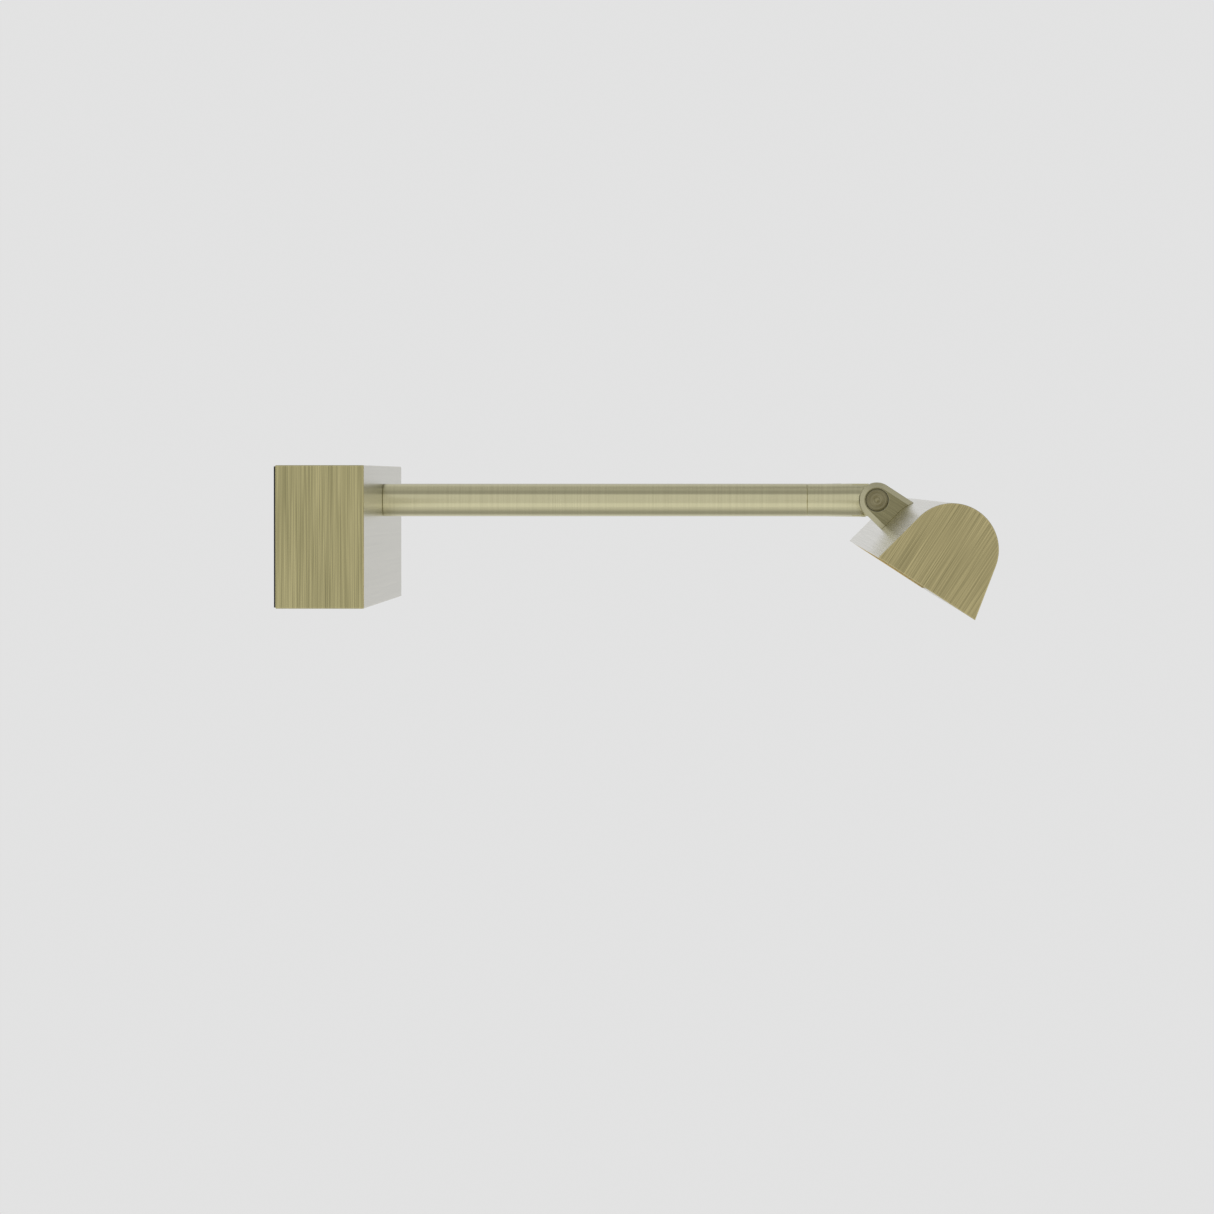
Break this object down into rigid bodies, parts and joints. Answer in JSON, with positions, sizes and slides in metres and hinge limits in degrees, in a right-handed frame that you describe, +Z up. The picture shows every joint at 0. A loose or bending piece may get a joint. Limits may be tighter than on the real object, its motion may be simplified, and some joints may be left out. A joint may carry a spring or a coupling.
{
  "type": "picture light",
  "caption": "Wall-mounted picture light: a slim tube arm from a shallow wall box carries a long tilting half-round lamp head with a recessed opal strip.",
  "frame": {"origin": "middle of the wall box's back face, on the wall", "axes": "+X along the lamp head, +Y into the wall (the light stands out along -Y), +Z up"},
  "size_m": [0.5, 0.2457, 0.0503],
  "materials": {
    "brushed_brass": "brushed antique brass",
    "turned_brass": "turned antique brass",
    "zinc_steel": "zinc plated",
    "bright_screws": "plain steel",
    "aluminium": "extruded, satin",
    "black_foam": "closed-cell foam",
    "black_rubber": "moulded rubber",
    "white_case": "moulded",
    "grey_nylon": "moulded nylon",
    "opal_plastic": "opal, satin",
    "white_board": "white solder mask",
    "led_yellow": "phosphor",
    "black_lead": "soft insulation",
    "supply_lead": "soft insulation",
    "green_lead": "soft insulation"
  },
  "bodies": {
    "box_and_arm": {"wall_plate": "zinc_steel", "wall_gasket": "black_foam", "wall_cover": "brushed_brass", "cover_screws": "bright_screws", "led_driver": "white_case", "driver_screws": "bright_screws", "terminal_block": "grey_nylon", "terminal_screws": "bright_screws", "cable_grommet": "black_rubber", "cord_clamp": "grey_nylon", "clamp_screws": "bright_screws", "earth_screw": "turned_brass", "earth_ring": "zinc_steel", "supply_leads": "supply_lead", "earth_lead": "green_lead", "arm_stud": "zinc_steel", "arm_backing_plate": "zinc_steel", "arm_lock_washer": "zinc_steel", "arm_nut": "zinc_steel", "arm_tube": "brushed_brass", "arm_lead": "black_lead", "arm_knuckle": "turned_brass", "knuckle_grub_screw": "bright_screws"},
    "head": {"head_yoke": "brushed_brass", "yoke_screws": "bright_screws", "pivot_barrel": "turned_brass", "pivot_screw": "turned_brass", "friction_washers": "grey_nylon", "head_housing": "brushed_brass", "end_cap_left": "brushed_brass", "end_cap_right": "brushed_brass", "diffuser": "opal_plastic", "led_carrier": "aluminium", "led_board": "white_board", "led_chips": "led_yellow", "board_screws": "bright_screws", "head_connector": "white_case", "head_lead": "black_lead", "lead_bush": "grey_nylon"}
  },
  "joints": [
    {"name": "head_tilt", "type": "hinge", "parent": "box_and_arm", "child": "head", "pos_m": [0, -0.2123, 0.0125], "axis": [1, 0, 0], "range_deg": [-48, 12]}
  ]
}
